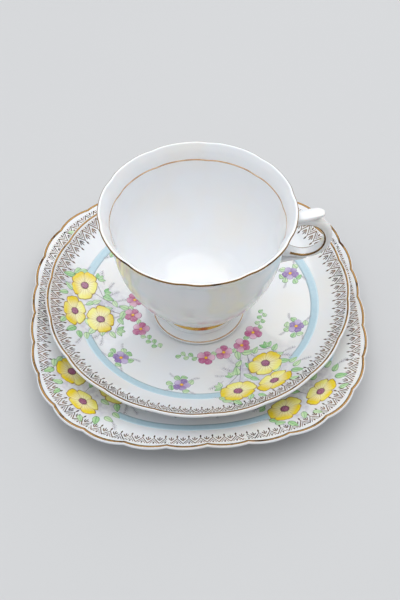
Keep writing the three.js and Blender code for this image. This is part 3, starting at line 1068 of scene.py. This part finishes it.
# A spray as the saucer carries it: radius, degrees from its middle, then what each list says.
BIG_FLOWERS = [(48.6, 7, 7.2, 8.8, 0), (60.4, 2, 5.7, 9.2, 1), (57.2, -14.8, 6.7, 8.9, 2)]  # half sizes, kind
PINK_CHAIN = [-27, -11, 6, 23]
CHAIN_RADIUS = 32.2
MAUVE_PLACES = [(49.6, 0.317), (49.8, 0.642)]  # radius and share of the way to the next spray
MAUVE_OUT = 0.45  # share of the spread by which the mauve blossoms move out
LEAVES = [  # turn from outwards in degrees, half length, kind
    (65.4, -17.5, 20, 2.9, 0), (63.8, -11.5, -35, 2.6, 0), (62.6, -21, 70, 2.6, 0), (65.8, -7.2, 25, 2.3, 0),
    (52.4, -21.5, -120, 3.0, 1), (44.6, -9.6, 165, 3.0, 0), (50, -5.8, -150, 2.5, 0), (41, -5.5, 120, 2.4, 0),
    (44.8, -1.2, -170, 2.8, 0), (37.6, 5, 60, 3.1, 0), (36.6, -2.5, -25, 2.8, 0), (39.2, 10.5, 110, 2.4, 0),
    (54.4, 14.6, 40, 2.8, 0), (57.6, 17.2, 75, 2.5, 0), (63.6, 12.6, 30, 3.0, 0), (60.6, 16, 85, 2.6, 0),
    (42.4, 17.5, 150, 3.2, 1), (45.4, 20, 100, 2.5, 0), (53.4, -4, 35, 2.4, 0), (55, 8.4, 90, 2.5, 0),
    (66.4, 8, 55, 2.4, 0), (49.6, 16.6, 60, 2.6, 0), (47, -13.5, -160, 2.8, 1), (60.4, -22.5, 40, 2.4, 0),
]
STEMS = [
    [(33.5, 6), (37, 5), (41.5, 1.5), (46, 1), (50, 3)],
    [(33.5, 2), (38, -2), (43, -6), (49, -10), (54, -13)],
    [(41, 2), (46, -3), (52, -4), (57, -2)],
    [(43, -6), (47, -10), (51, -17)],
    [(36.5, 5.5), (38.5, 10), (42, 15), (44, 19)],
]
FERNS = [  # turn from outwards in degrees, half length
    (43, -13, -130, 4.2), (50.5, -24, -60, 4.4), (64, -21, 35, 3.8), (46, 14, 70, 4.0), (53, 18, 25, 4.4),
    (41.6, 6, 15, 3.6), (62, 19, 50, 3.8), (47.5, -3, 150, 4.2), (38, -9, -160, 3.4), (58.5, -26, 80, 3.6),
    (52, 22, 60, 3.6), (45, -19, -100, 3.6), (66, 3, 0, 2.6), (66, -13, 10, 2.6),
]
BAND_RADIUS, BAND_WIDTH, BAND_START, BAND_END = 57, 4.3, 17, -22
MAUVE_LEAVES = [
    (3.9, 2.9, 100), (-3.8, -3.2, 60), (3.0, -4.6, 20), (-2.2, 5, 150), (-4.6, 0.6, 100), (0.4, -6.4, 90)]
MAUVE_FERNS = [(4.8, 5.5, 60), (-4.6, -6, 240), (-4.2, 6.5, 110), (4.6, -6, -60)]
WASH_PLACES, WASH_REACH = [(46, -3), (52, 9), (58, -12), (58, 4)], 10.5


def decorate(name, body, dish, place, sprays, spread):
    """Paints a dish with the spray at each of the given angles, further out by `spread` than on the saucer.
    The mauve blossoms between the sprays move out by less."""
    gaps = [(after - spray) % 360 for spray, after in zip(sprays, sprays[1:] + sprays[:1])]

    def at(spray, radius, degrees):
        angle = math.radians(spray + degrees * radius / (radius + spread))
        return place(radius + spread, angle)

    def mark(spray, radius, degrees, turn, length, breadth, which=0):
        """One motif's mark; its turn is measured from straight outwards."""
        x, y = at(spray, radius, degrees)
        run = at(spray, radius + 1, degrees) - at(spray, radius - 1, degrees)
        return (x, y, math.atan2(run[1], run[0]) + math.radians(turn), length, breadth, which)

    flowers = [mark(s, r, d, 0, a, b, w) for s in sprays for r, d, a, b, w in BIG_FLOWERS]
    pink = [mark(s, CHAIN_RADIUS + 0.5 * (-1) ** i, d, 37 * i, 4.2, 4.3, i % 2)
            for s in sprays for i, d in enumerate(PINK_CHAIN)]
    inwards = (1 - MAUVE_OUT) * spread
    between = [(s, r - inwards, gap * share * (r + MAUVE_OUT * spread) / (r - inwards), i)
               for s, gap in zip(sprays, gaps) for i, (r, share) in enumerate(MAUVE_PLACES)]
    mauve = [mark(s, r, d, 50 * i, 3.9, 4.2, i) for s, r, d, i in between]
    leaves = [mark(s, r, d, t, a, a * 1.1, kind) for s in sprays for r, d, t, a, kind in LEAVES]
    chain = [d for d in np.arange(-50, 51, 3.4) if min(abs(d - p) for p in PINK_CHAIN) > 6.5]
    leaves += [mark(s, CHAIN_RADIUS - 0.2 + 1.0 * (-1) ** i, d, 90 + 40 * (-1) ** i, 1.5, 1.6, 2)
               for s in sprays for i, d in enumerate(chain)]
    leaves += [mark(s, r + dr, d + dd, t, 1.8, 2.0, 2)
               for s, r, d, _ in between for dr, dd, t in MAUVE_LEAVES]
    ferns = [mark(s, r, d, t, a, a) for s in sprays for r, d, t, a in FERNS]
    ferns += [mark(s, r + dr, d + dd, t, 2.8, 2.8) for s, r, d, _ in between for dr, dd, t in MAUVE_FERNS]
    hearts = [(x, y, turn, a * 0.32, b * 0.26, 0) for x, y, turn, a, b, _ in flowers]
    eyes = [(x, y, turn, 0.95, 0.95, 0) for x, y, turn, *_ in pink + mauve]

    stems, band = Drawing(), Drawing()
    for spray, gap in zip(sprays, gaps):
        for route in STEMS:
            stems.stroke(smooth([at(spray, r, d) for r, d in route], 16), (0.46, 0.38, 0.3), 0.06, shade=1.0)
        end = gap * (BAND_RADIUS + spread) / BAND_RADIUS + BAND_END
        band.ribbon([at(spray, BAND_RADIUS, d) for d in np.linspace(BAND_START, end, 70)], BAND_WIDTH, 0.05)

    settle(lay(f"{name}_blue_band", band, dish, BLUE), body, "enamel")
    settle(lay(f"{name}_stems", stems, dish, INK), body, "enamel")
    for label, motifs, marks, paint in (
        ("ferns", [fern_drawing()], ferns, INK),
        ("leaves", LEAF_KINDS, leaves, GREEN),
        ("yellow_flowers", FLOWERS, flowers, YELLOW),
        ("flower_hearts", [disc(0.26, 54, 0.13)], hearts, PLUM),
        ("pink_blossoms", BLOSSOMS, pink, PINK),
        ("mauve_blossoms", BLOSSOMS, mauve, MAUVE),
        ("blossom_eyes", [disc(0.2, 10)], eyes, EYE),
    ):
        settle(scatter(f"{name}_{label}", motifs, marks, dish, paint, len(label)), body, "enamel")
    tint_china(dish, [at(s, r, d) for s in sprays for r, d in WASH_PLACES])


def tint_china(dish, middles):
    """Stores 'wash' on the china: how strongly the lilac ground tint shows, falling off around the sprays."""
    places = np.array([vertex.co.xy for vertex in dish.data.vertices]) / MM
    near = np.min([np.linalg.norm(places - middle, axis=1) for middle in middles], axis=0)
    wash = np.exp(-((near / WASH_REACH) ** 2)).astype(np.float32)
    dish.data.attributes.new("wash", "FLOAT", "POINT").data.foreach_set("value", wash)


decorate("saucer", "saucer", saucer, saucer_place, [-57, 65, 185], 0)
decorate("tea_plate", "plate", tea_plate, plate_place, [-140, -45, 42, 132], 8.7)

# ---- Stage, light and camera ----


def stage_material():
    material, tree, shader = new_material("pale_floor")
    grey = mixed(tree, noise(tree, 2.0, 3), palette(196, 196, 197), palette(201, 201, 201))
    feed(tree, shader, {"Base Color": grey, "Roughness": 0.75})
    return material


bpy.ops.mesh.primitive_plane_add(size=6, location=(0, 0, 0))
floor = bpy.context.object
floor.name = "floor"
floor.data.materials.append(stage_material())


def area_light(name, place, aim, size, power, colour=(1, 1, 1)):
    data = bpy.data.lights.new(name, "AREA")
    data.shape, data.size, data.energy, data.color = "DISK", size, power, colour
    lamp = bpy.data.objects.new(name, data)
    lamp.location = place
    lamp.rotation_euler = (Vector(aim) - Vector(place)).to_track_quat("-Z", "Y").to_euler()
    bpy.context.scene.collection.objects.link(lamp)


area_light("overhead_softbox", (0.1, 0.2, 1.0), (0, 0, 0.03), 1.7, 9.5)
area_light("left_fill", (-0.8, -0.1, 0.6), (0, 0, 0.04), 0.7, 0.5, (0.96, 0.98, 1))


def soft_room():
    """Light that is strongest overhead and fades to a dim horizon, as under a large tent of cloth."""
    world = bpy.data.worlds.new("soft_room")
    world.use_nodes = True
    tree = world.node_tree
    _, _, up = separated(tree, add(tree, "ShaderNodeTexCoord").outputs["Generated"])
    colour = mixed(tree, remap(tree, up, 0.0, 0.75), (0.05, 0.055, 0.07), (0.94, 0.97, 1.0))
    feed(tree, tree.nodes["Background"], {"Color": colour, "Strength": 0.8})
    return world


bpy.context.scene.world = soft_room()
bpy.context.scene.view_settings.view_transform = "Standard"

ELEVATION, DISTANCE, ROLL = math.radians(50.65), 491.2, math.radians(-0.53)
look_at = Vector((SAUCER_CENTRE.x + 0.84, SAUCER_CENTRE.y, 12.8))
eye = look_at + DISTANCE * Vector((0, -math.cos(ELEVATION), math.sin(ELEVATION)))
camera_data = bpy.data.cameras.new("camera")
camera_data.lens, camera_data.sensor_width = 60, 36
camera = bpy.data.objects.new("camera", camera_data)
camera.location = eye * MM
facing = (look_at - eye).to_track_quat("-Z", "Y").to_matrix()
camera.rotation_euler = (facing @ Matrix.Rotation(ROLL, 3, "Z")).to_euler()
bpy.context.scene.collection.objects.link(camera)
bpy.context.scene.camera = camera
